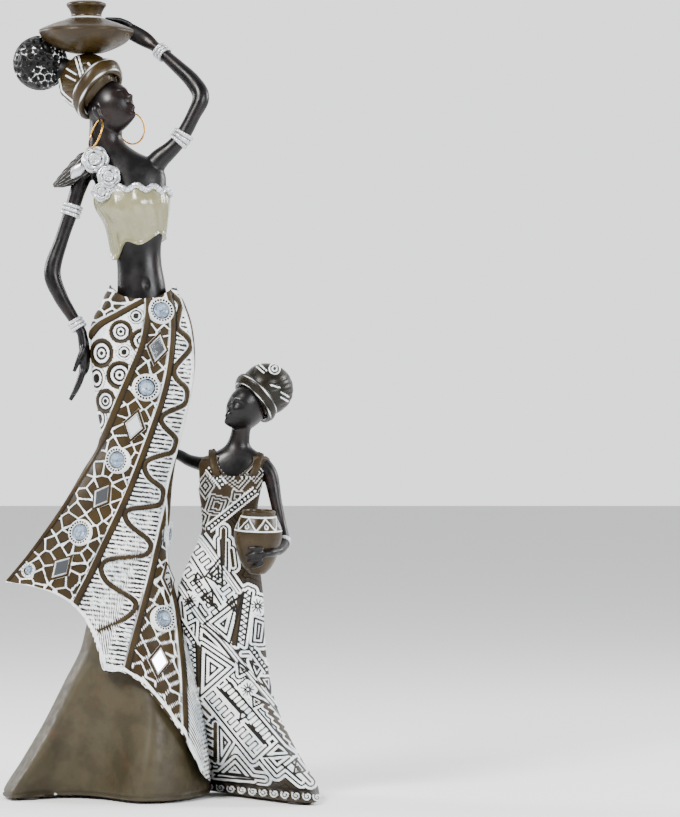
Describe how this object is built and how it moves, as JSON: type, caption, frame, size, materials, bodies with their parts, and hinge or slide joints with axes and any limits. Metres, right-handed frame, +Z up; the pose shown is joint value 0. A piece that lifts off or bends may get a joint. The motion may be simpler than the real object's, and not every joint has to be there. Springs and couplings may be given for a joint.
{
  "type": "african mother and child figurine",
  "caption": "Standing figurine of a mother who carries a jar on her turbaned head with one arm raised, a child with a pot at her side; glued stones, mirrors, hoops and foot pads.",
  "frame": {"origin": "middle of the footprint, on the ground under the foot pads", "axes": "+Z up, the front looks along -Y, +X is the viewer's right, where the child stands"},
  "size_m": [0.1588, 0.0796, 0.398],
  "materials": {
    "painted_resin": "hand-painted cast resin: near-black skin, olive-brown cloth, cream top, white-washed relief",
    "clear_stone": "clear faceted rhinestone with a bright foil back",
    "mirror_chip": "silvered mirror chip, cut edges",
    "gold_wire": "bright gold-coloured wire",
    "foot_pad": "dark soft pad"
  },
  "bodies": {
    "root": {"figure_group": "painted_resin", "gem_1": "clear_stone", "gem_2": "clear_stone", "gem_3": "clear_stone", "gem_4": "clear_stone", "gem_5": "clear_stone", "gem_6": "clear_stone", "gem_7": "clear_stone", "mirror_1": "mirror_chip", "mirror_2": "mirror_chip", "mirror_3": "mirror_chip", "mirror_4": "mirror_chip", "mirror_5": "mirror_chip", "mirror_6": "mirror_chip", "earring_near": "gold_wire", "earring_far": "gold_wire", "foot_pad_1": "foot_pad", "foot_pad_2": "foot_pad", "foot_pad_3": "foot_pad", "foot_pad_4": "foot_pad", "foot_pad_5": "foot_pad"}
  },
  "joints": []
}
